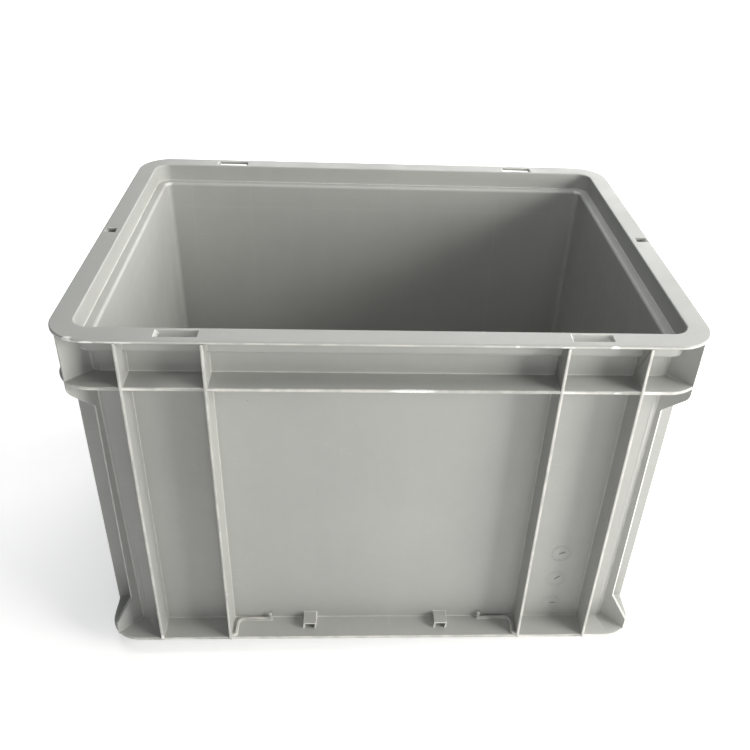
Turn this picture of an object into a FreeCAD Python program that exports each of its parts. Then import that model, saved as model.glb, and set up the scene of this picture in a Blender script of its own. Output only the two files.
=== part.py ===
import FreeCAD, Part
import math
import os

# Euro stacking container, 400 x 300 mm on plan, one injection moulding in grey polypropylene.
# Millimetres. Origin at the middle of the underside, X along the length, front (card side) at -Y, Z up.

V = FreeCAD.Vector

# Overall size, over the rim and from the foot to the rim
length = 400.0
width = 300.0
height = 280.0

# Outer envelope that the rim, the flanges, the ribs and the corner webs reach
rim_corner_radius = 25.0
envelope_lean = 1.7
flange_setback = 0.3

# Rim
rim_thickness = 2.5
rim_width_long_side = 15.0
rim_width_short_side = 14.0
rim_top_round = 0.9
rim_under_bevel = 0.5

# Walls and floor
wall_thickness = 2.5
wall_inset = 18.6
wall_lean = 2.8
wall_corner_radius = 7.0
floor_thickness = 3.0
floor_round = 4.0

# Stacking recess inside the rim, and the foot of the next box that sits in it
recess_depth = 14.0
ledge_round = 2.4
foot_height = 16.5
foot_clearance = 1.5
foot_skirt_thickness = 2.0
foot_lead_in = 1.0

# Flanges round the outside
middle_flange_drop = 33.5
middle_flange_thickness = 2.5
base_flange_thickness = 2.5
flange_edge_bevel = 0.6

# Upright ribs
rib_thickness = 2.0
rib_edge_bevel = 0.4
long_side_rib_places = (108.0, 158.0)
short_side_rib_places = (58.0, 108.0)

# Corner webs, upright plates on the diagonals
web_thickness = 2.0
web_fin_setback = 16.1
bracket_start_drop = 43.5
bracket_end_drop = 60.0
bracket_outer_round = 9.0
bracket_inner_round = 4.0
flare_start_height = 44.5
flare_end_height = 28.7
flare_round = 1.5

# Hand grips under the rim of the short sides
grip_lip_thickness = 2.5
grip_edge_round = 1.0

# Lid slots through the rim
long_slot_place = 123.3
long_slot_length = 25.4
long_slot_width = 8.0
long_slot_end_slope = 1.7
short_slot_length = 8.6
short_slot_width = 7.0
short_slot_end_slope = 2.3
short_slot_edge = 1.3

# Card holder on the front: two bent lips that end in pegs, and two stops with a pocket
lip_thickness = 1.8
lip_height = 1.8
lip_card_gap = 1.7
lip_front_edge = 0.9
lip_stand_off = 4.2
lip_end_place = 79.5
lip_inner_bend = 2.0
lip_outer_bend = 5.0
peg_width = 2.0
peg_height = 6.5
stop_place = 49.5
stop_width = 9.6
stop_reach = 11.4
stop_height = 5.7
stop_edge = 1.1
stop_pocket_depth = 6.0

# How far a solid that is cut or fused away runs past the face it meets
overrun = 1.0

ledge_height = height - recess_depth
rim_underside = height - rim_thickness
middle_flange_top = height - middle_flange_drop
middle_flange_underside = middle_flange_top - middle_flange_thickness
base_flange_top = foot_height + base_flange_thickness
corner_centre = V(length / 2 - rim_corner_radius, width / 2 - rim_corner_radius, 0)
recess_corner_radius = rim_corner_radius - rim_width_short_side


def rounded_rectangle(half_x, half_y, radius, z):
    """Closed wire of four straight edges joined by quarter arcs, level at height z."""
    x = half_x - radius
    y = half_y - radius
    diagonal = radius * math.sqrt(0.5)
    edges = []
    for sx, sy in ((1, 1), (-1, 1), (-1, -1), (1, -1)):
        at_x = V(sx * half_x, sy * y, z)
        at_y = V(sx * x, sy * half_y, z)
        middle = V(sx * (x + diagonal), sy * (y + diagonal), z)
        start, end = (at_x, at_y) if sx == sy else (at_y, at_x)
        if edges:
            edges.append(Part.makeLine(edges[-1].Vertexes[-1].Point, start))
        edges.append(Part.Arc(start, middle, end).toShape())
    edges.append(Part.makeLine(edges[-1].Vertexes[-1].Point, edges[0].Vertexes[0].Point))
    return Part.Wire(edges)


def prism(half_x, half_y, radius, low, high):
    """Upright solid on a rounded rectangle."""
    face = Part.Face(rounded_rectangle(half_x, half_y, radius, low))
    return face.extrude(V(0, 0, high - low))


def envelope_inset(z):
    """How far the outer envelope has leant inwards at height z."""
    return envelope_lean * (height - z) / (height - foot_height)


def wall_half_sizes(z):
    """Half length and half width over the walls' outer faces at height z."""
    inset = wall_inset + wall_lean * (ledge_height - z) / ledge_height
    return length / 2 - inset, width / 2 - inset


def level_edges(shape, z):
    """The edges of a shape that lie level at height z."""
    return [edge for edge in shape.Edges
            if abs(edge.BoundBox.ZMin - z) < 1e-4 and abs(edge.BoundBox.ZMax - z) < 1e-4]


def polygon_plate(points, thickness, normal):
    """Flat plate on a closed outline, with half of its thickness on each side of it."""
    outline = Part.makePolygon(points + points[:1])
    face = Part.Face(outline)
    face.translate(normal * (-thickness / 2))
    return face.extrude(normal * thickness)


def flange_inset(low, high):
    """How far the edge of a flange between two levels lies inside the rim's outline."""
    return envelope_inset((low + high) / 2) + flange_setback


def outer_plate(low, high):
    """Level plate as wide as the envelope, with its edge broken above and below."""
    inset = flange_inset(low, high)
    plate = prism(length / 2 - inset, width / 2 - inset, rim_corner_radius - inset, low, high)
    return plate.makeChamfer(flange_edge_bevel, level_edges(plate, low) + level_edges(plate, high))


def rim_plate():
    """Level plate that the rim is cut from, full size at its top."""
    plate = prism(length / 2, width / 2, rim_corner_radius, rim_underside, height)
    plate = plate.makeFillet(rim_top_round, level_edges(plate, height))
    return plate.makeChamfer(rim_under_bevel, level_edges(plate, rim_underside))


def recess_block():
    """Solid block whose sides are the outer faces of the stacking recess's wall."""
    block = prism(length / 2 - rim_width_short_side + wall_thickness,
                  width / 2 - rim_width_long_side + wall_thickness,
                  recess_corner_radius + wall_thickness,
                  ledge_height - wall_thickness, rim_underside + overrun)
    return block.makeFillet(ledge_round, level_edges(block, ledge_height - wall_thickness))


def drafted_block(low, high, inset, radius):
    """Solid between two levels whose flat sides follow the walls, moved in by an inset."""
    low_x, low_y = wall_half_sizes(low)
    high_x, high_y = wall_half_sizes(high)
    wedge = Part.makeWedge(inset - low_x, low, inset - low_y, inset - high_y, inset - high_x,
                           low_x - inset, high, low_y - inset, high_y - inset, high_x - inset)
    wedge.rotate(V(0, 0, 0), V(1, 0, 0), 90)
    corners = [edge for edge in wedge.Edges if edge.BoundBox.ZLength > (high - low) / 2]
    return wedge.makeFillet(radius, corners)


def cavity():
    """The space inside: stacking recess, rounded ledge edge, drafted walls and floor corners."""
    recess = prism(length / 2 - rim_width_short_side, width / 2 - rim_width_long_side,
                   recess_corner_radius, ledge_height, height + overrun)
    inside = drafted_block(floor_thickness, ledge_height, wall_thickness,
                           wall_corner_radius - wall_thickness)
    inside = inside.makeFillet(floor_round, level_edges(inside, floor_thickness))
    space = recess.fuse(inside)
    half_x, half_y = wall_half_sizes(ledge_height)
    ledge_edges = [edge for edge in level_edges(space, ledge_height)
                   if abs(edge.CenterOfMass.x) < half_x and abs(edge.CenterOfMass.y) < half_y]
    return space.makeFillet(ledge_round, ledge_edges)


def rib_slab(place, along_x):
    """Upright slab across the whole box; the cavity leaves its two ends as ribs."""
    half = width / 2 if along_x else length / 2
    top = half - envelope_inset(rim_underside)
    foot = half - envelope_inset(foot_height)
    profile = ((-foot, foot_height), (foot, foot_height), (top, rim_underside), (-top, rim_underside))
    if along_x:
        points = [V(place, across, z) for across, z in profile]
        normal = V(1, 0, 0)
    else:
        points = [V(across, place, z) for across, z in profile]
        normal = V(0, 1, 0)
    slab = polygon_plate(points, rib_thickness, normal)
    upright = [edge for edge in slab.Edges if edge.BoundBox.ZLength > rim_underside / 2]
    return slab.makeChamfer(rib_edge_bevel, upright)


def foot_tie(place, along_x):
    """Slab that carries a rib's line down between the wall and the foot's skirt."""
    reach = foot_skirt_thickness / 2 + foot_clearance
    half_x = rib_thickness / 2 if along_x else length / 2 - rim_width_short_side - reach
    half_y = width / 2 - rim_width_long_side - reach if along_x else rib_thickness / 2
    centre = V(place, 0, 0) if along_x else V(0, place, 0)
    corner = centre - V(half_x, half_y, 0)
    return Part.makeBox(2 * half_x, 2 * half_y, foot_height + overrun, corner)


def corner_web():
    """Diagonal plate on the corner at +X +Y, with the bracket above and the flared foot."""
    outward = V(math.sqrt(0.5), math.sqrt(0.5), 0)
    sideways = V(-math.sqrt(0.5), math.sqrt(0.5), 0)
    fin = rim_corner_radius - web_fin_setback

    def reach(z):
        return rim_corner_radius - envelope_inset(z)

    bracket_start = height - bracket_start_drop
    bracket_end = height - bracket_end_drop
    profile = ((0, foot_height), (reach(foot_height), foot_height),
               (reach(flare_end_height), flare_end_height), (fin, flare_start_height),
               (fin, bracket_end), (reach(bracket_start), bracket_start),
               (reach(rim_underside), rim_underside), (0, rim_underside))
    points = [corner_centre + outward * out + V(0, 0, z) for out, z in profile]
    web = polygon_plate(points, web_thickness, sideways)
    rounds = ((flare_end_height, flare_round), (flare_start_height, flare_round),
              (bracket_end, bracket_inner_round), (bracket_start, bracket_outer_round))
    for z, radius in rounds:
        web = web.makeFillet(radius, level_edges(web, z))
    return web


def two_ends(shape):
    """A solid and its mirror image in the plane between left and right."""
    return [shape, shape.mirror(V(0, 0, 0), V(1, 0, 0))]


def four_corners(shape):
    """A solid at the +X +Y corner and its mirror images at the other three."""
    pair = two_ends(shape)
    return pair + [one.mirror(V(0, 0, 0), V(0, 1, 0)) for one in pair]


def grip_lip():
    """Upright lip at +X from the rim down to the middle flange's level, which a hand pulls on."""
    outer = length / 2 - flange_inset(middle_flange_underside, middle_flange_top)
    half = short_side_rib_places[0]
    low = V(outer - grip_lip_thickness, -half, middle_flange_underside)
    lip = Part.makeBox(grip_lip_thickness, 2 * half, rim_underside + rim_under_bevel - low.z, low)
    return lip.makeFillet(grip_edge_round, [edge for edge in level_edges(lip, low.z)
                                            if edge.BoundBox.YLength > half])


def middle_flange():
    """Flange under the rim, left out between the inner ribs of both short sides for the grips."""
    plate = outer_plate(middle_flange_underside, middle_flange_top)
    half = short_side_rib_places[0] - rib_thickness / 2
    inner = wall_half_sizes(middle_flange_underside)[0] - wall_thickness
    low = V(inner, -half, middle_flange_underside - overrun)
    window = Part.makeBox(length / 2 - inner, 2 * half, middle_flange_thickness + 2 * overrun, low)
    return plate.cut(two_ends(window))


def foot_skirt():
    """Ring under the base flange that locates in the next box's recess."""
    half_x = length / 2 - rim_width_short_side - foot_clearance
    half_y = width / 2 - rim_width_long_side - foot_clearance
    radius = recess_corner_radius - foot_clearance
    outer = prism(half_x, half_y, radius, 0, foot_height + overrun)
    outer = outer.makeChamfer(foot_lead_in, level_edges(outer, 0))
    inner = prism(half_x - foot_skirt_thickness, half_y - foot_skirt_thickness,
                  radius - foot_skirt_thickness, -overrun, foot_height + 2 * overrun)
    return outer.cut(inner)


def rim_slot(start, end, start_slope, end_slope, low_y, high_y):
    """Cutter for a slot along X through the rim, whose ends may slope inwards as they go down."""
    profile = ((start + start_slope, rim_underside - overrun), (end - end_slope, rim_underside - overrun),
               (end - end_slope, rim_underside), (end, height), (end, height + overrun),
               (start, height + overrun), (start, height), (start + start_slope, rim_underside))
    points = [V(x, low_y, z) for x, z in profile]
    return Part.Face(Part.makePolygon(points + points[:1])).extrude(V(0, high_y - low_y, 0))


def rim_slots():
    """Two slots in each long side's rim, just outside the recess wall, and one in each short side's."""
    start = long_slot_place - long_slot_length / 2
    low_y = width / 2 - rim_width_long_side + wall_thickness
    slots = four_corners(rim_slot(start, start + long_slot_length, long_slot_end_slope,
                                  long_slot_end_slope, low_y, low_y + long_slot_width))
    end = length / 2 - short_slot_edge
    slot = rim_slot(end - short_slot_length, end, 0, short_slot_end_slope,
                    -short_slot_width / 2, short_slot_width / 2)
    return slots + two_ends(slot)


def bent_path(points, radii):
    """Open wire through points, with a tangent arc of the given radius at each inner point."""
    edges = []
    start = points[0]
    for before, corner, after, radius in zip(points, points[1:], points[2:], radii):
        towards = (corner - before).normalize()
        away = (after - corner).normalize()
        turn = towards.getAngle(away)
        back = radius * math.tan(turn / 2)
        arc_start = corner - towards * back
        arc_end = corner + away * back
        bisector = (away - towards).normalize()
        centre = corner + bisector * (radius / math.cos(turn / 2))
        edges.append(Part.makeLine(start, arc_start))
        edges.append(Part.Arc(arc_start, centre - bisector * radius, arc_end).toShape())
        start = arc_end
    edges.append(Part.makeLine(start, points[-1]))
    return Part.Wire(edges)


def card_lip():
    """Bent lip on the base flange at -X, from the inner rib's foot to its peg."""
    wall_y = -wall_half_sizes(base_flange_top)[1]
    run_y = wall_y - lip_card_gap - lip_thickness / 2
    front_y = -(width / 2 - envelope_inset(base_flange_top) - lip_front_edge - lip_thickness / 2)
    rib_x = -long_side_rib_places[0]
    stand_x = rib_x + lip_stand_off
    end_x = -lip_end_place
    z = base_flange_top - base_flange_thickness / 2
    path = bent_path([V(rib_x, front_y, z), V(stand_x, front_y, z), V(stand_x, run_y, z), V(end_x, run_y, z)],
                     (lip_inner_bend, lip_outer_bend))
    face = path.makeOffset2D(lip_thickness / 2, 2, True, False)
    lip = face.extrude(V(0, 0, base_flange_thickness / 2 + lip_height))
    peg = Part.makeBox(peg_width, lip_thickness, base_flange_thickness / 2 + peg_height,
                       V(end_x - peg_width / 2, run_y - lip_thickness / 2, z))
    return lip.fuse(peg)


def card_stop():
    """Small block against the foot of the front wall at -X, with a pocket in its face."""
    wall_y = -wall_half_sizes(base_flange_top)[1]
    front_y = wall_y - stop_reach
    low_x = -stop_place - stop_width / 2
    z = base_flange_top - base_flange_thickness / 2
    block = Part.makeBox(stop_width, stop_reach + wall_thickness / 2,
                         stop_height + base_flange_thickness / 2, V(low_x, front_y, z))
    pocket = Part.makeBox(stop_width - 2 * stop_edge, stop_pocket_depth + overrun, stop_height - stop_edge,
                          V(low_x + stop_edge, front_y - overrun, base_flange_top))
    return block.cut(pocket)


def card_holder():
    """Lips and stops of the front, in mirrored pairs."""
    return two_ends(card_lip()) + two_ends(card_stop())


def outside():
    """Everything that is solid before the inside and the slots are cut."""
    pieces = [rim_plate(), recess_block(), middle_flange(), foot_skirt()]
    pieces.append(outer_plate(foot_height, base_flange_top))
    for sign in (-1, 1):
        pieces += [rib_slab(sign * place, True) for place in long_side_rib_places]
        pieces += [rib_slab(sign * place, False) for place in short_side_rib_places]
        pieces += [foot_tie(sign * place, True) for place in long_side_rib_places]
        pieces += [foot_tie(sign * place, False) for place in short_side_rib_places]
    pieces += two_ends(grip_lip())
    pieces += four_corners(corner_web())
    pieces += card_holder()
    return drafted_block(0, ledge_height, 0, wall_corner_radius).multiFuse(pieces)


def container():
    """The whole moulding as one solid."""
    shape = outside().cut(cavity())
    inner_rim = [edge for edge in level_edges(shape, height)
                 if abs(edge.CenterOfMass.x) < length / 2 - rim_width_short_side + overrun
                 and abs(edge.CenterOfMass.y) < width / 2 - rim_width_long_side + overrun]
    shape = shape.makeFillet(rim_top_round, inner_rim)
    return shape.cut(rim_slots()).removeSplitter()


os.makedirs("parts", exist_ok=True)
model = container()
print("solids", len(model.Solids), "valid", model.isValid(), "volume_cm3", round(model.Volume / 1000, 1))
model.exportStep("parts/container.step")
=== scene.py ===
import math

import bmesh
import bpy
import numpy as np
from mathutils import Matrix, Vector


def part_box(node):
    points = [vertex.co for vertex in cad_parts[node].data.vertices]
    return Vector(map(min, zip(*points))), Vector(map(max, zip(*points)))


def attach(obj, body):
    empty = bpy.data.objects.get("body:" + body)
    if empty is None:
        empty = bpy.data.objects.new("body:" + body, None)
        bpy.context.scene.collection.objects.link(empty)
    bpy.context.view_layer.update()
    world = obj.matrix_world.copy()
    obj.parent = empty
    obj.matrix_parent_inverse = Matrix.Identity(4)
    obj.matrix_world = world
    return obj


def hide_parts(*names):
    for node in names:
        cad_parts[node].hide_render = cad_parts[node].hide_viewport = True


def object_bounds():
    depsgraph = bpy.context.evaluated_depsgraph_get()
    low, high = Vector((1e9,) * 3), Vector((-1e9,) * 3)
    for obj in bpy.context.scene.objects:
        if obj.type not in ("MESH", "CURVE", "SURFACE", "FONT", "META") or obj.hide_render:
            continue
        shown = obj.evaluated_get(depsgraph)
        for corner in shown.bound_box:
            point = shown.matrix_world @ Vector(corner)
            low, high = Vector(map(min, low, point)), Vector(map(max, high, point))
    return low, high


# A grey stacking container, moulded in one piece. Metres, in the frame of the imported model.

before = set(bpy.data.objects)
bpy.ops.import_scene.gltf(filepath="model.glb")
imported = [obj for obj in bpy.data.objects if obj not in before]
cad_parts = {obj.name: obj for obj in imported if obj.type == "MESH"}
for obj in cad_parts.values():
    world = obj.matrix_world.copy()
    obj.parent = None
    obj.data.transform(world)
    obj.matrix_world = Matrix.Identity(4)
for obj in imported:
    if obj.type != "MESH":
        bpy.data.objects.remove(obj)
cad_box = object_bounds()
mm = 0.001

# Facets of the solid that are merged before anything is cut or rounded
merge_distance = 0.003 * mm
flat_within = math.radians(0.5)

# Radii of the mould's edges: corners that stick out, and roots where two plates meet
edge_radius = 0.25 * mm
root_radius = 0.6 * mm
sharpest_kept = math.radians(50)
shortest_ridge = 0.3 * mm
shortest_root = 1.2 * mm

# Wear and painted highlight show on curves tighter than this, on narrow rims between two ridges, and in
# the roots by a share
tight_radius = 1.3 * mm
narrow_rim = 2.3 * mm
least_turn = math.radians(12)
long_edge_share = 1.2
# On the narrow rims and in the roots this paleness is painted highlight only
rim_highlight_share = 0.9
root_highlight_share = 0.45
crease = math.radians(50)

# Half sizes and height of the solid's box, to a thousandth of a millimetre
half_length, half_width, height = (round(side, 6) for side in cad_box[1])

# Where the walls stand: their outer faces at the recess's ledge, and how far they lean in below it,
# in all and per metre
recess_depth = 14 * mm
ledge_height = height - recess_depth
wall_inset = 18.6 * mm
wall_thickness = 2.5 * mm
wall_draft = 2.8 * mm
long_wall_outside = half_width - wall_inset
short_wall_outside = half_length - wall_inset
wall_lean = wall_draft / ledge_height

# Date dials cut into the front wall, one above the other: a ring, a pointer and a dot for each month
dial_x = 135 * mm
dial_heights = (86.8 * mm, 60.3 * mm, 33.2 * mm)
pointer_turns = (math.radians(25), math.radians(40), math.radians(4))
dial_ring_radius = 7.6 * mm
dial_ring_width = 0.4 * mm
dial_ring_depth = 0.2 * mm
dial_ring_steps = 48
pointer_length = 5.6 * mm
pointer_width = 1.25 * mm
pointer_depth = 1.5 * mm
dots = 12
dot_circle_radius = 6.1 * mm
dot_radius = 0.55 * mm
dot_depth = 0.35 * mm
section_steps = 8
lens_bands = 6
lens_steps = 16

# Where the ribs and flanges stand, for the sink lines that they leave inside
long_wall_rib_places = (108 * mm, 158 * mm)
short_wall_rib_places = (58 * mm, 108 * mm)
flange_thickness = 2.5 * mm
middle_flange_drop = 33.5 * mm
foot_height = 16.5 * mm
flange_middles = (height - middle_flange_drop - flange_thickness / 2, foot_height + flange_thickness / 2)
rib_sink_half_width = 1.3 * mm
flange_sink_half_width = 2.08 * mm
wall_zone = 8 * mm

# The plastic's colours: as moulded, paler with painted sheen over a sink line, paler at the edges from
# wear and painted highlight, scuffed white, and in a speck
moulding_colour = (0.395, 0.398, 0.38)
sink_sheen_colour = (0.62, 0.62, 0.58)
worn_and_highlight_colour = (0.84, 0.825, 0.765)
scuffed_colour = (0.95, 0.95, 0.93)
speck_colour = (0.07, 0.065, 0.055)

# How strongly each effect shows in the plastic's colour
mottle_depth = 0.018
sink_sheen_lift = 0.06
edge_wear_and_highlight_strength = 0.6
hairline_amount = 0.1
speck_strength = 0.75
scuff_softness = 0.35
speck_softness = 0.6

# Gloss of the skin: roughness at its least and most, what a scuff adds to it, and the plastic's index
smoothest = 0.44
roughest = 0.54
scuff_roughness = 0.2
plastic_ior = 1.49

# Cloudy noise stays between about these two
noise_low = 0.3
noise_high = 0.7

# Relief of the skin: the fine grain's height, and the others as shares of it
skin_relief = 0.05 * mm
relief_strength = 0.35
coarse_grain_height = 0.6
wave_height = 1.6
sink_drop = 1.2
hairline_drop = 0.8

# Stray specks: how many cells to the metre, their share without a speck, and a speck's radius in cells
speck_cells = 75.0
cells_without = 0.965
stray_speck_radius = 0.018

# Faint scratches: two directions, each a turn and the stretch of its noise
hairline_directions = (
    ((0.4, 0.3, 0.5), (900, 30, 260)),
    ((-0.5, 0.6, -0.2), (40, 700, 420)),
)
hairline_width = 0.006

# Marks that the photograph shows, each a centre and half sizes in millimetres
dark_specks = (
    ((-17.3, -130.8, 204.9), (0.4, 1.0, 0.4)),
    ((-43.0, -130.2, 146.6), (0.45, 1.0, 0.4)),
    ((-29.3, -129.6, 97.6), (0.3, 1.0, 0.35)),
    ((33.5, -129.3, 65.1), (0.35, 1.0, 0.3)),
    ((-86.2, -131.0, 224.6), (0.5, 1.0, 0.4)),
    ((-121.0, -130.4, 171.4), (0.35, 1.0, 0.4)),
)
scuffs = (
    # The first whitens a streak along the middle flange's front edge
    ((16.5, -149.5, 245.6), (17.0, 1.4, 1.5)),
    ((-184.0, -147.6, 278.7), (4.5, 2.6, 1.9)),
    ((-173.0, -149.6, 278.2), (5.0, 1.4, 1.1)),
    ((-155.0, -149.8, 278.0), (9.5, 1.2, 0.9)),
    ((76.5, -149.8, 278.4), (1.6, 1.0, 0.9)),
    ((107.0, -149.8, 278.0), (5.0, 1.0, 0.7)),
    ((135.0, -149.8, 278.4), (3.5, 1.2, 1.5)),
    ((142.5, -149.6, 245.4), (3.5, 1.2, 0.8)),
    ((-108.0, -147.9, 66.0), (1.4, 0.8, 3.0)),
    ((-158.0, -148.0, 20.0), (1.4, 1.2, 3.0)),
)

# Floor: its half size and colour, and its glow, weaker from the object out to where the shadow ends
floor_reach = 5.0
floor_colour = (0.85, 0.85, 0.85)
floor_drift = 0.015
floor_roughness = 0.9
shadow_near = 0.3
shadow_far = 1.1
glow_in_shadow = 0.45

# Camera, fitted to the photograph: place, turn in degrees, lens and sensor in millimetres, and shift
camera_place = (-0.0243, -0.5637, 0.5375)
camera_turn = (57.00, -2.24, -2.35)
camera_lens = 40.27
camera_sensor = 36
camera_shift = (-0.0236, -0.0201)

# Light from all round
world_light = 0.05
world_tint = (0.7, 0.88, 1.0)
white = (1.0, 1.0, 1.0)

# Lamps: each one's name, azimuth, elevation, distance, size, power and colour
lamp_aim_height = 0.16
lamps = (
    ("key", 58, 18, 1.2, 0.5, 13.4, (1.0, 0.985, 0.955)),
    ("side", 92, 24, 1.5, 0.9, 16.8, (1.0, 0.99, 0.965)),
    ("front_fill", 0, 20, 1.5, 0.8, 4.3, (1.0, 0.99, 0.97)),
    ("top", 0, 90, 1.5, 1.0, 9.5, (1.0, 1.0, 0.985)),
    ("back", 182, 20, 1.5, 0.8, 6.4, (1.0, 1.0, 0.985)),
    ("back_right", 150, 22, 1.5, 0.8, 8.2, (1.0, 1.0, 0.985)),
)


# Meshes: reading, marking and making them

def new_object(name, data):
    """A mesh, lamp or camera as an object of the scene, at the origin."""
    obj = bpy.data.objects.new(name, data)
    bpy.context.scene.collection.objects.link(obj)
    return obj


def evaluated(obj):
    """The object's mesh as its modifiers leave it."""
    graph = bpy.context.evaluated_depsgraph_get()
    return bpy.data.meshes.new_from_object(obj.evaluated_get(graph), depsgraph=graph)


def values_of(elements, name, width=1, kind=np.float32):
    """One property of all vertices, edges, corners or faces of a mesh, as an array."""
    values = np.empty(len(elements) * width, kind)
    elements.foreach_get(name, values)
    return values if width == 1 else values.reshape(-1, width)


def set_values(mesh, name, kind, domain, values):
    """A new attribute of a mesh, with a value for each of its edges or faces."""
    mesh.attributes.new(name, kind, domain).data.foreach_set("value", values)


def face_corners(mesh):
    """How many corners each face has, and at which corner of the mesh it starts."""
    sizes = values_of(mesh.polygons, "loop_total", kind=np.int32)
    return sizes, np.cumsum(sizes) - sizes


def edge_ends(mesh):
    """Places of the two ends of each edge."""
    ends = values_of(mesh.edges, "vertices", 2, np.int32)
    return values_of(mesh.vertices, "co", 3)[ends]


def edge_lengths(mesh):
    """Distance between the two ends of each edge."""
    ends = edge_ends(mesh)
    return np.linalg.norm(ends[:, 0] - ends[:, 1], axis=1)


def edge_sharpness(mesh):
    """Signed angle at each edge of a closed mesh: the angle between its two faces, positive where they
    form a ridge and negative where they form a root. The sign is that of the triple product of the first
    face's normal, the second's, and the direction in which the first face runs along the edge."""
    corner_edge = values_of(mesh.loops, "edge_index", kind=np.int32)
    corner_vertex = values_of(mesh.loops, "vertex_index", kind=np.int32)
    normals = values_of(mesh.polygons, "normal", 3)
    places = values_of(mesh.vertices, "co", 3)
    sizes, starts = face_corners(mesh)
    corner_face = np.repeat(np.arange(len(sizes)), sizes)
    following = np.arange(len(corner_edge)) + 1
    following[starts + sizes - 1] = starts
    order = np.argsort(corner_edge, kind="stable")
    first, second = order[0::2], order[1::2]
    along = places[corner_vertex[following[first]]] - places[corner_vertex[first]]
    one, other = normals[corner_face[first]], normals[corner_face[second]]
    angle = np.arccos(np.clip((one * other).sum(1), -1, 1))
    ridge = (np.cross(one, other) * along).sum(1)
    result = np.zeros(len(mesh.edges), np.float32)
    result[corner_edge[first]] = np.where(ridge >= 0, angle, -angle)
    return result


def joined_mesh(name, surfaces):
    """One closed mesh of several surfaces, each given as its places and its arrays of faces."""
    faces, before = [], 0
    for places, face_arrays in surfaces:
        for face_array in face_arrays:
            faces += (face_array + before).tolist()
        before += len(places)
    mesh = bpy.data.meshes.new(name)
    mesh.from_pydata(np.concatenate([places for places, _ in surfaces]).tolist(), [], faces)
    work = bmesh.new()
    work.from_mesh(mesh)
    bmesh.ops.recalc_face_normals(work, faces=work.faces)
    work.to_mesh(mesh)
    work.free()
    return mesh


# Date dials

def ring_surface(points, across, outward, width, depth):
    """Closed ring: at each of its points an ellipse, half a width to either side across the ring and one
    depth outwards and inwards, whose angle runs once round the section."""
    turn = np.linspace(0, 2 * np.pi, section_steps + 1)[:-1]
    wide = np.cos(turn)[None, :, None] * across[:, None, :] * width / 2
    deep = np.sin(turn)[None, :, None] * outward[None, None, :] * depth
    places = points[:, None, :] + wide + deep
    rows, columns = places.shape[:2]
    row, column = np.meshgrid(np.arange(rows), np.arange(columns), indexing="ij")
    after, beside = (row + 1) % rows, (column + 1) % columns
    faces = np.stack([row * columns + column, after * columns + column,
                      after * columns + beside, row * columns + beside], axis=-1)
    return places.reshape(-1, 3), [faces.reshape(-1, 4)]


def lens_surface(centre, along, aside, outward, long_half, short_half, depth):
    """Closed lens on an ellipse: latitude and longitude of a sphere, stretched along three directions."""
    latitude = np.linspace(-np.pi / 2, np.pi / 2, lens_bands + 1)[1:-1]
    longitude = np.linspace(0, 2 * np.pi, lens_steps + 1)[:-1]
    lat, lon = np.meshgrid(latitude, longitude, indexing="ij")
    places = (centre + (np.cos(lat) * np.cos(lon) * long_half)[..., None] * along
              + (np.cos(lat) * np.sin(lon) * short_half)[..., None] * aside
              + (np.sin(lat) * depth)[..., None] * outward)
    poles = np.stack([centre - depth * outward, centre + depth * outward])
    rows, columns = lat.shape
    row, column = np.meshgrid(np.arange(rows - 1), np.arange(columns), indexing="ij")
    beside = (column + 1) % columns
    sides = np.stack([row * columns + column, row * columns + beside,
                      (row + 1) * columns + beside, (row + 1) * columns + column], axis=-1)
    around = np.arange(columns)
    following = (around + 1) % columns
    last = (rows - 1) * columns
    pole = np.full(columns, rows * columns)
    caps = np.concatenate([np.stack([following, around, pole], axis=-1),
                           np.stack([last + around, last + following, pole + 1], axis=-1)])
    return np.concatenate([places.reshape(-1, 3), poles]), [sides.reshape(-1, 4), caps]


def dial_cutter(dial_height, pointer_turn):
    """Solids that cut one date dial into the front wall: a ring, a pointer that runs out from the middle,
    and the dots inside the ring, all lying in the wall's own leaning plane."""
    right = np.array([1.0, 0, 0])
    up = np.array([0, -wall_lean, 1]) / math.hypot(wall_lean, 1)
    outward = np.array([0, -1, -wall_lean]) / math.hypot(wall_lean, 1)
    wall_y = -(long_wall_outside - wall_lean * (ledge_height - dial_height))
    centre = np.array([dial_x, wall_y, dial_height])
    turn = np.linspace(0, 2 * np.pi, dial_ring_steps + 1)[:-1, None]
    spoke = np.cos(turn) * right + np.sin(turn) * up
    surfaces = [ring_surface(centre + dial_ring_radius * spoke, spoke, outward, dial_ring_width,
                             dial_ring_depth)]
    along = math.cos(pointer_turn) * right + math.sin(pointer_turn) * up
    aside = -math.sin(pointer_turn) * right + math.cos(pointer_turn) * up
    surfaces.append(lens_surface(centre + along * pointer_length / 4, along, aside, outward,
                                 pointer_length / 2, pointer_width / 2, pointer_depth))
    for place in centre + dot_circle_radius * spoke[::dial_ring_steps // dots]:
        surfaces.append(lens_surface(place, right, up, outward, dot_radius, dot_radius, dot_depth))
    return surfaces


def with_dials(obj):
    """The object's mesh with the date dials cut out of the front wall."""
    surfaces = []
    for dial_height, pointer_turn in zip(dial_heights, pointer_turns):
        surfaces += dial_cutter(dial_height, pointer_turn)
    cutter = new_object("dial_cutter", joined_mesh("dial_cutter", surfaces))
    cut = obj.modifiers.new("dials", "BOOLEAN")
    cut.operation = "DIFFERENCE"
    cut.solver = "EXACT"
    cut.object = cutter
    mesh = evaluated(obj)
    bpy.data.objects.remove(cutter)
    return mesh


def by_the_dials(places):
    """Which of the places lie on the front wall's strip of date dials."""
    reach = dial_ring_radius + 2 * dial_ring_width
    beside = np.abs(places[:, 0] - dial_x) < reach
    between = (places[:, 2] > min(dial_heights) - reach) & (places[:, 2] < max(dial_heights) + reach)
    in_wall = np.abs(places[:, 1] + long_wall_outside) < 2 * wall_thickness
    return beside & between & in_wall


# The moulding

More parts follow.
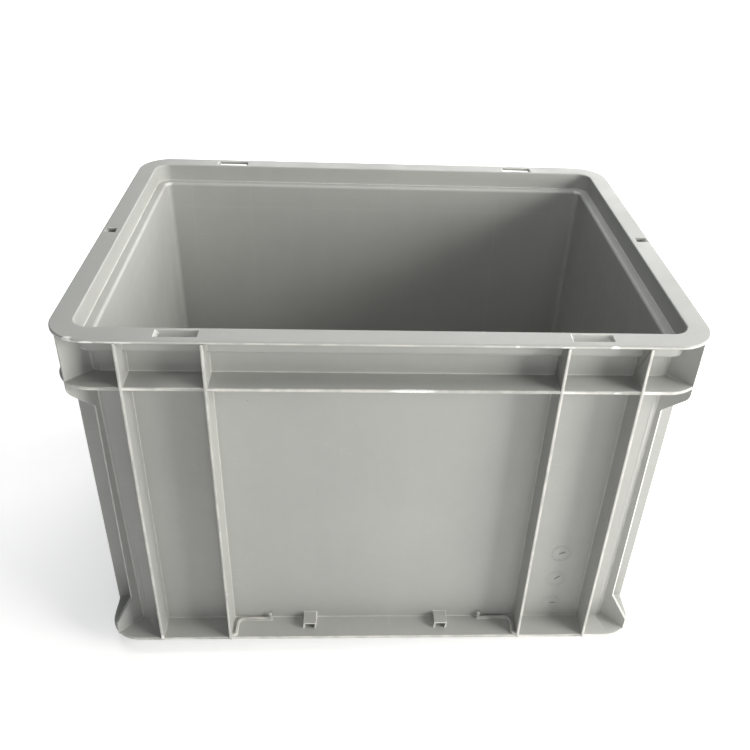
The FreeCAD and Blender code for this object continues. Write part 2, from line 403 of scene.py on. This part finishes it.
def merged_copy(node):
    """The solid's mesh with its doubled vertices merged and its flat facets joined."""
    mesh = node.data.copy()
    work = bmesh.new()
    work.from_mesh(mesh)
    bmesh.ops.remove_doubles(work, verts=work.verts, dist=merge_distance)
    bmesh.ops.dissolve_limit(work, angle_limit=flat_within, verts=work.verts, edges=work.edges)
    work.to_mesh(mesh)
    work.free()
    mesh.materials.clear()
    return mesh


def rounded(mesh):
    """The mesh with its sharp edges rounded and its roots filled. The bevel's width is the edge radius on
    each ridge and the root radius in each root. The shortest edges and the dials stay as they are."""
    sharpness = edge_sharpness(mesh)
    length = edge_lengths(mesh)
    plain_edge = ~by_the_dials(edge_ends(mesh).mean(axis=1))
    ridge = (sharpness > sharpest_kept) & (length > shortest_ridge) & plain_edge
    root = (sharpness < -sharpest_kept) & (length > shortest_root) & plain_edge
    weight = np.where(root, 1.0, np.where(ridge, edge_radius / root_radius, 0.0)).astype(np.float32)
    set_values(mesh, "bevel_weight_edge", "FLOAT", "EDGE", weight)
    obj = new_object("container_sharp", mesh)
    bevel = obj.modifiers.new("rounded", "BEVEL")
    bevel.limit_method = "WEIGHT"
    bevel.width = root_radius
    bevel.segments = 2
    bevel.use_clamp_overlap = False
    result = evaluated(obj)
    bpy.data.objects.remove(obj)
    return result


def hold_inside(mesh, box):
    """Moves each vertex that lies past a box onto its nearest side."""
    low, high = (np.array(corner, np.float32) for corner in box)
    places = np.clip(values_of(mesh.vertices, "co", 3), low, high)
    mesh.vertices.foreach_set("co", places.ravel())
    mesh.update()


def mark_wear_and_highlight(mesh):
    """Gives each face a value for wear and painted highlight: 1 on a tight ridge, where it is wear with
    painted highlight; the rim share, painted highlight only, on a narrow rim between two ridges; the root
    share, painted highlight only, in a tight root; and otherwise 0. A face's width is twice its area over
    its perimeter. The face is tight where its width is less than the tight radius times the angle by which
    the surface turns along the face's longer edges. The date dials stay unmarked."""
    sizes, starts = face_corners(mesh)
    area = values_of(mesh.polygons, "area")
    centre = values_of(mesh.polygons, "center", 3)
    corner_edge = values_of(mesh.loops, "edge_index", kind=np.int32)
    length = edge_lengths(mesh)[corner_edge]
    width = 2 * area / np.add.reduceat(length, starts)
    long_edge = length > long_edge_share * np.repeat(width, sizes)
    turn = np.where(long_edge, edge_sharpness(mesh)[corner_edge], 0)
    ridge = np.maximum.reduceat(turn, starts)
    root = -np.minimum.reduceat(turn, starts)
    turned = np.maximum(ridge, root) > least_turn
    tight = turned & (width < tight_radius * np.maximum(ridge, root))
    rim = turned & (width < narrow_rim) & (root < least_turn)
    # Ridges get wear with painted highlight; narrow rims and roots get painted highlight
    value = np.where(tight, np.where(ridge > root, 1.0, root_highlight_share), np.where(rim, rim_highlight_share, 0.0))
    value[by_the_dials(centre)] = 0
    set_values(mesh, "edge", "FLOAT", "FACE", value.astype(np.float32))


def mark_creases(mesh):
    """Keeps the shading broken at the edges that stayed sharp."""
    set_values(mesh, "sharp_edge", "BOOLEAN", "EDGE", np.abs(edge_sharpness(mesh)) > crease)


def dressed_moulding(node):
    """Copy of the solid with its dials cut, its edges rounded inside its own box, and its wear and painted
    highlight marked.
    """
    plain = new_object("container_facets", merged_copy(node))
    mesh = rounded(with_dials(plain))
    bpy.data.objects.remove(plain)
    hold_inside(mesh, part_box(node.name))
    mark_wear_and_highlight(mesh)
    mesh.shade_smooth()
    mark_creases(mesh)
    obj = new_object("container_moulding", mesh)
    shading = obj.modifiers.new("shading", "WEIGHTED_NORMAL")
    shading.weight = 80
    shading.keep_sharp = True
    return obj


# Shader nodes: small steps that the materials are made of

def add_node(tree, kind, place=None, **settings):
    """A shader node with its settings; a setting named after an input sets that input."""
    made = tree.nodes.new(kind)
    for name, value in settings.items():
        if hasattr(made, name):
            setattr(made, name, value)
        else:
            made.inputs[name.replace("_", " ")].default_value = value
    if place is not None:
        tree.links.new(place, made.inputs["Vector"])
    return made


def number(tree, operation, first, second=None, clamp=False):
    """One operation on a value or on two, each a socket or a plain number."""
    made = add_node(tree, "ShaderNodeMath", operation=operation, use_clamp=clamp)
    for socket, value in zip(made.inputs, (first, second)):
        if isinstance(value, (int, float)):
            socket.default_value = value
        elif value is not None:
            tree.links.new(value, socket)
    return made.outputs[0]


def over_all(tree, operation, values):
    """One operation taken in turn over several values."""
    result = values[0]
    for value in values[1:]:
        result = number(tree, operation, result, value)
    return result


def vector_step(tree, operation, first, second=None):
    """One operation on a vector, or on it and a fixed one."""
    made = add_node(tree, "ShaderNodeVectorMath", operation=operation)
    tree.links.new(first, made.inputs[0])
    if second is not None:
        made.inputs[1].default_value = second
    return made.outputs["Value" if operation == "LENGTH" else "Vector"]


def ramp(tree, value, low, high, at_low=0.0, at_high=1.0):
    """A value carried from one range to another along a smooth step, and held at its ends."""
    made = add_node(tree, "ShaderNodeMapRange", interpolation_type="SMOOTHSTEP")
    tree.links.new(value, made.inputs["Value"])
    for name, end in (("From Min", low), ("From Max", high), ("To Min", at_low), ("To Max", at_high)):
        made.inputs[name].default_value = end
    return made.outputs["Result"]


def mapped(tree, place, scale, turn=(0, 0, 0)):
    """The place with each of its coordinates scaled, and then turned."""
    return add_node(tree, "ShaderNodeMapping", place, Scale=scale, Rotation=turn).outputs["Vector"]


def noise(tree, place, scale, detail, roughness=0.5):
    """Cloudy noise, with about as many clouds to the metre as its scale says."""
    made = add_node(tree, "ShaderNodeTexNoise", place, Scale=scale, Detail=detail, Roughness=roughness)
    return made.outputs["Fac"]


def clouds(tree, place, scale, detail, lowest, highest):
    """A value that drifts between two others in clouds."""
    return ramp(tree, noise(tree, place, scale, detail), noise_low, noise_high, lowest, highest)


def toned(tree, colour, tone):
    """A colour, lighter or darker by a tone near 1."""
    made = add_node(tree, "ShaderNodeVectorMath", operation="SCALE")
    made.inputs[0].default_value = colour
    tree.links.new(tone, made.inputs["Scale"])
    return made.outputs[0]


def mixed(tree, factor, first, second):
    """First colour, turning into the second where the factor is 1."""
    made = add_node(tree, "ShaderNodeMix", data_type="RGBA")
    tree.links.new(factor, made.inputs["Factor"])
    for socket, value in ((made.inputs["A"], first), (made.inputs["B"], second)):
        if isinstance(value, tuple):
            socket.default_value = (*value, 1)
        else:
            tree.links.new(value, socket)
    return made.outputs["Result"]


# The plastic's effects, each a group of shader nodes

def new_group(name, inputs, output):
    """An empty shader node group. Its inputs are given as name and kind of socket."""
    tree = bpy.data.node_groups.new(name, "ShaderNodeTree")
    kinds = {"value": "NodeSocketFloat", "vector": "NodeSocketVector"}
    for label, kind in inputs:
        tree.interface.new_socket(label, in_out="INPUT", socket_type=kinds[kind])
    tree.interface.new_socket(output, in_out="OUTPUT", socket_type=kinds["value"])
    return tree, tree.nodes.new("NodeGroupInput").outputs, tree.nodes.new("NodeGroupOutput").inputs[output]


def mottle_group():
    """Tone that drifts a little over the moulding: broad clouds, finer ones, and upright flow streaks."""
    tree, given, tone = new_group("mottle", (("Place", "vector"), ("Depth", "value")), "Tone")
    place = given["Place"]
    upright = mapped(tree, place, scale=(60, 60, 5))
    broad = clouds(tree, place, scale=14, detail=3, lowest=-1.0, highest=1.0)
    fine = clouds(tree, place, scale=130, detail=4, lowest=-0.5, highest=0.5)
    streak = clouds(tree, upright, scale=1, detail=3, lowest=-0.5, highest=0.5)
    drift = over_all(tree, "ADD", (broad, fine, streak))
    tree.links.new(number(tree, "ADD", number(tree, "MULTIPLY", drift, given["Depth"]), 1.0), tone)
    return tree


def grain_group():
    """Height of the moulded skin: a fine matt grain, a coarser and lower one, and slow waves."""
    tree, given, relief = new_group("grain", (("Place", "vector"), ("Waves", "value")), "Height")
    place = given["Place"]
    fine = noise(tree, place, scale=1900, detail=2, roughness=0.6)
    coarse = number(tree, "MULTIPLY", noise(tree, place, scale=420, detail=2), coarse_grain_height)
    waves = number(tree, "MULTIPLY", noise(tree, place, scale=32, detail=1), given["Waves"])
    tree.links.new(over_all(tree, "ADD", (fine, coarse, waves)), relief)
    return tree


def speck_group():
    """Mask of stray dark specks: in a few cells of a cellular pattern, a dot round the cell's point."""
    tree, given, mask = new_group("speck", (("Place", "vector"), ("Radius", "value")), "Mask")
    cells = add_node(tree, "ShaderNodeTexVoronoi", given["Place"], Scale=speck_cells)
    chance = add_node(tree, "ShaderNodeSeparateColor")
    tree.links.new(cells.outputs["Color"], chance.inputs["Color"])
    rare = number(tree, "GREATER_THAN", chance.outputs["Red"], cells_without)
    near = number(tree, "LESS_THAN", cells.outputs["Distance"], given["Radius"])
    tree.links.new(number(tree, "MULTIPLY", rare, near), mask)
    return tree


def hairline_group():
    """Mask of faint scratches: thin lines where two stretched, turned noises pass their middle value."""
    tree, given, mask = new_group("hairline", (("Place", "vector"), ("Amount", "value")), "Mask")
    place = given["Place"]
    lines = []
    for turn, stretch in hairline_directions:
        value = noise(tree, mapped(tree, place, stretch, turn), scale=0.35, detail=1)
        off = number(tree, "ABSOLUTE", number(tree, "SUBTRACT", value, 0.5))
        lines.append(ramp(tree, off, low=0.0, high=hairline_width, at_low=1.0, at_high=0.0))
    where = ramp(tree, noise(tree, place, scale=26, detail=2), low=0.56, high=0.68)
    some = number(tree, "MULTIPLY", over_all(tree, "MAXIMUM", lines), where)
    tree.links.new(number(tree, "MULTIPLY", some, given["Amount"]), mask)
    return tree


def mark_group(name, marks, softness):
    """Mask of one kind of listed mark. Each is an ellipsoid: the distance from its centre, with each
    coordinate divided by its half size, is under one."""
    tree, given, mask = new_group(name, (("Place", "vector"),), "Mask")
    spots = []
    for centre, half in marks:
        away = vector_step(tree, "SUBTRACT", given["Place"], [value * mm for value in centre])
        shrunk = vector_step(tree, "DIVIDE", away, [value * mm for value in half])
        distance = vector_step(tree, "LENGTH", shrunk)
        spots.append(ramp(tree, distance, low=1.0 - softness, high=1.0, at_low=1.0, at_high=0.0))
    tree.links.new(over_all(tree, "MAXIMUM", spots), mask)
    return tree


def line_mask(tree, coordinate, places, reach):
    """Mask of thin lines at given values of a coordinate, soft on both sides."""
    lines = []
    for place in places:
        off = number(tree, "ABSOLUTE", number(tree, "SUBTRACT", coordinate, place))
        lines.append(ramp(tree, off, low=0.0, high=reach, at_low=1.0, at_high=0.0))
    return over_all(tree, "MAXIMUM", lines)


def sink_group():
    """Mask of the sink lines on the inner faces, where a rib or a flange stands on the wall's other side.
    An inner face is nearer to the middle than the wall's own middle plane, which leans with the wall."""
    tree, given, mask = new_group("sink", (("Place", "vector"),), "Mask")
    axes = add_node(tree, "ShaderNodeSeparateXYZ", given["Place"]).outputs
    x = number(tree, "ABSOLUTE", axes["X"])
    y = number(tree, "ABSOLUTE", axes["Y"])
    lean = number(tree, "MULTIPLY", number(tree, "SUBTRACT", ledge_height, axes["Z"]), wall_lean)
    inner, on_wall, upright = [], [], []
    for across, along, outside, ribs in ((x, y, short_wall_outside, short_wall_rib_places),
                                         (y, x, long_wall_outside, long_wall_rib_places)):
        middle = number(tree, "SUBTRACT", outside - wall_thickness / 2, lean)
        inner.append(number(tree, "LESS_THAN", across, middle))
        near = number(tree, "GREATER_THAN", across, outside - wall_zone)
        on_wall.append(near)
        upright.append(number(tree, "MULTIPLY", line_mask(tree, along, ribs, rib_sink_half_width), near))
    level = line_mask(tree, axes["Z"], flange_middles, flange_sink_half_width)
    round_the_walls = number(tree, "MULTIPLY", level, over_all(tree, "MAXIMUM", on_wall))
    lines = over_all(tree, "MAXIMUM", (*upright, round_the_walls))
    tree.links.new(over_all(tree, "MULTIPLY", (lines, *inner)), mask)
    return tree


def use_group(tree, group, place, **values):
    """One of the groups in a material, with its own values."""
    made = add_node(tree, "ShaderNodeGroup", node_tree=group)
    tree.links.new(place, made.inputs["Place"])
    for name, value in values.items():
        made.inputs[name].default_value = value
    return made.outputs[0]


# Materials

def new_material(name):
    """A material with its tree, its shader's inputs and the place on the piece."""
    material = bpy.data.materials.new(name)
    material.use_nodes = True
    tree = material.node_tree
    place = add_node(tree, "ShaderNodeTexCoord").outputs["Object"]
    return material, tree, tree.nodes["Principled BSDF"].inputs, place


def matt_plastic(name, colour, effects):
    """Matt moulded polypropylene: mottled tone, stray specks, edges paler from wear and painted highlight,
    scuffs, faint scratches, and sink lines in relief with painted sheen, on a finely grained skin."""
    material, tree, shader, place = new_material(name)
    # Per face: wear with painted highlight on ridges, painted highlight on narrow rims and in roots
    edge = add_node(tree, "ShaderNodeAttribute", attribute_name="edge").outputs["Fac"]
    tone = use_group(tree, effects["mottle"], place, Depth=mottle_depth)
    sink = use_group(tree, effects["sink"], place)
    hairline = use_group(tree, effects["hairline"], place, Amount=hairline_amount)
    stray = use_group(tree, effects["speck"], place, Radius=stray_speck_radius)
    speck = number(tree, "MAXIMUM", stray, use_group(tree, effects["listed_speck"], place))
    # Edge paleness in patches: the painted highlight and wear of the per-face value
    patchy = ramp(tree, noise(tree, place, scale=90, detail=3), low=0.35, high=0.65, at_low=0.45)
    worn_and_highlit = over_all(tree, "MULTIPLY", (edge, patchy, edge_wear_and_highlight_strength))
    broken = ramp(tree, noise(tree, place, scale=700, detail=2), low=0.3, high=0.5, at_low=0.5)
    scuffed = number(tree, "MULTIPLY", use_group(tree, effects["scuff"], place), broken)

    # Sink lines lifted to a paler colour: painted sheen; their relief is the bump below
    sink_sheen = number(tree, "MULTIPLY", sink, sink_sheen_lift)
    skin = mixed(tree, sink_sheen, toned(tree, colour, tone), sink_sheen_colour)
    # Edges paler from painted highlight and wear; the scratches take the same pale colour
    skin = mixed(tree, worn_and_highlit, skin, worn_and_highlight_colour)
    skin = mixed(tree, hairline, skin, worn_and_highlight_colour)
    skin = mixed(tree, scuffed, skin, scuffed_colour)
    skin = mixed(tree, number(tree, "MULTIPLY", speck, speck_strength), skin, speck_colour)
    tree.links.new(skin, shader["Base Color"])

    plain = clouds(tree, place, scale=45, detail=3, lowest=smoothest, highest=roughest)
    added = number(tree, "MULTIPLY", scuffed, scuff_roughness)
    tree.links.new(number(tree, "ADD", plain, added, clamp=True), shader["Roughness"])

    grain = use_group(tree, effects["grain"], place, Waves=wave_height)
    sunk = number(tree, "SUBTRACT", grain, number(tree, "MULTIPLY", sink, sink_drop))
    cut = number(tree, "SUBTRACT", sunk, number(tree, "MULTIPLY", hairline, hairline_drop))
    bump = add_node(tree, "ShaderNodeBump", Strength=relief_strength, Distance=skin_relief)
    tree.links.new(cut, bump.inputs["Height"])
    tree.links.new(bump.outputs["Normal"], shader["Normal"])
    shader["IOR"].default_value = plastic_ior
    return material


def floor_material(name, colour):
    """Plain pale floor, with a faint tone. What looks at it straight or by way of a shiny surface sees it
    lifted to white by an added glow, which is weaker near the object, so that the shadow stays."""
    material, tree, shader, place = new_material(name)
    shader["Roughness"].default_value = floor_roughness
    tone = clouds(tree, place, scale=9, detail=3, lowest=1 - floor_drift, highest=1 + floor_drift)
    tree.links.new(toned(tree, colour, tone), shader["Base Color"])
    away = vector_step(tree, "LENGTH", place)
    glow = ramp(tree, away, shadow_near, shadow_far, at_low=glow_in_shadow)
    ray = add_node(tree, "ShaderNodeLightPath").outputs
    rays = (ray["Is Camera Ray"], ray["Is Glossy Ray"], ray["Is Transmission Ray"])
    seen = over_all(tree, "MAXIMUM", rays)
    shader["Emission Color"].default_value = (*white, 1)
    tree.links.new(number(tree, "MULTIPLY", glow, seen), shader["Emission Strength"])
    return material


# Floor, camera and light

def floor_mesh(name, reach):
    """A level square through the origin."""
    corners = [(-reach, -reach, 0), (reach, -reach, 0), (reach, reach, 0), (-reach, reach, 0)]
    mesh = bpy.data.meshes.new(name)
    mesh.from_pydata(corners, [], [(0, 1, 2, 3)])
    return mesh


def add_camera():
    """The camera at the photograph's viewing angle."""
    camera = bpy.data.cameras.new("camera")
    camera.sensor_width = camera_sensor
    camera.lens = camera_lens
    camera.shift_x, camera.shift_y = camera_shift
    obj = new_object("camera", camera)
    obj.location = camera_place
    obj.rotation_euler = [math.radians(angle) for angle in camera_turn]
    return obj


def studio_world(name):
    """Weak, cool light from all round; what looks at it straight sees plain white."""
    world = bpy.data.worlds.new(name)
    world.use_nodes = True
    tree = world.node_tree
    background = tree.nodes["Background"].inputs
    straight = add_node(tree, "ShaderNodeLightPath").outputs["Is Camera Ray"]
    strength = ramp(tree, straight, low=0, high=1, at_low=world_light)
    tree.links.new(strength, background["Strength"])
    tree.links.new(mixed(tree, straight, world_tint, white), background["Color"])
    return world


def add_lamp(name, azimuth, elevation, distance, size, watts, colour):
    """A square lamp aimed at the middle of the object. Azimuth and elevation are in degrees, and azimuth
    runs from the front towards the right."""
    lamp = bpy.data.lights.new(name, "AREA")
    lamp.shape = "SQUARE"
    lamp.size = size
    lamp.energy = watts
    lamp.color = colour
    obj = new_object(name, lamp)
    turn, rise = math.radians(azimuth), math.radians(elevation)
    flat = distance * math.cos(rise)
    above = lamp_aim_height + distance * math.sin(rise)
    obj.location = (flat * math.sin(turn), -flat * math.cos(turn), above)
    obj.rotation_euler = (math.pi / 2 - rise, 0, turn)


# The object

moulding = dressed_moulding(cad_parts["container"])
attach(moulding, "root")
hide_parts("container")

plastic_effects = {
    "mottle": mottle_group(),
    "grain": grain_group(),
    "speck": speck_group(),
    "hairline": hairline_group(),
    "sink": sink_group(),
    "scuff": mark_group("scuff", scuffs, scuff_softness),
    "listed_speck": mark_group("listed_speck", dark_specks, speck_softness),
}
moulding.data.materials.clear()
moulding.data.materials.append(matt_plastic("matt_moulded_plastic", moulding_colour, plastic_effects))

# The studio

floor = new_object("floor", floor_mesh("floor", floor_reach))
floor.data.materials.append(floor_material("pale_floor", floor_colour))

bpy.context.scene.camera = add_camera()
bpy.context.scene.world = studio_world("studio")
for lamp_values in lamps:
    add_lamp(*lamp_values)

bpy.context.scene.view_settings.view_transform = "Standard"
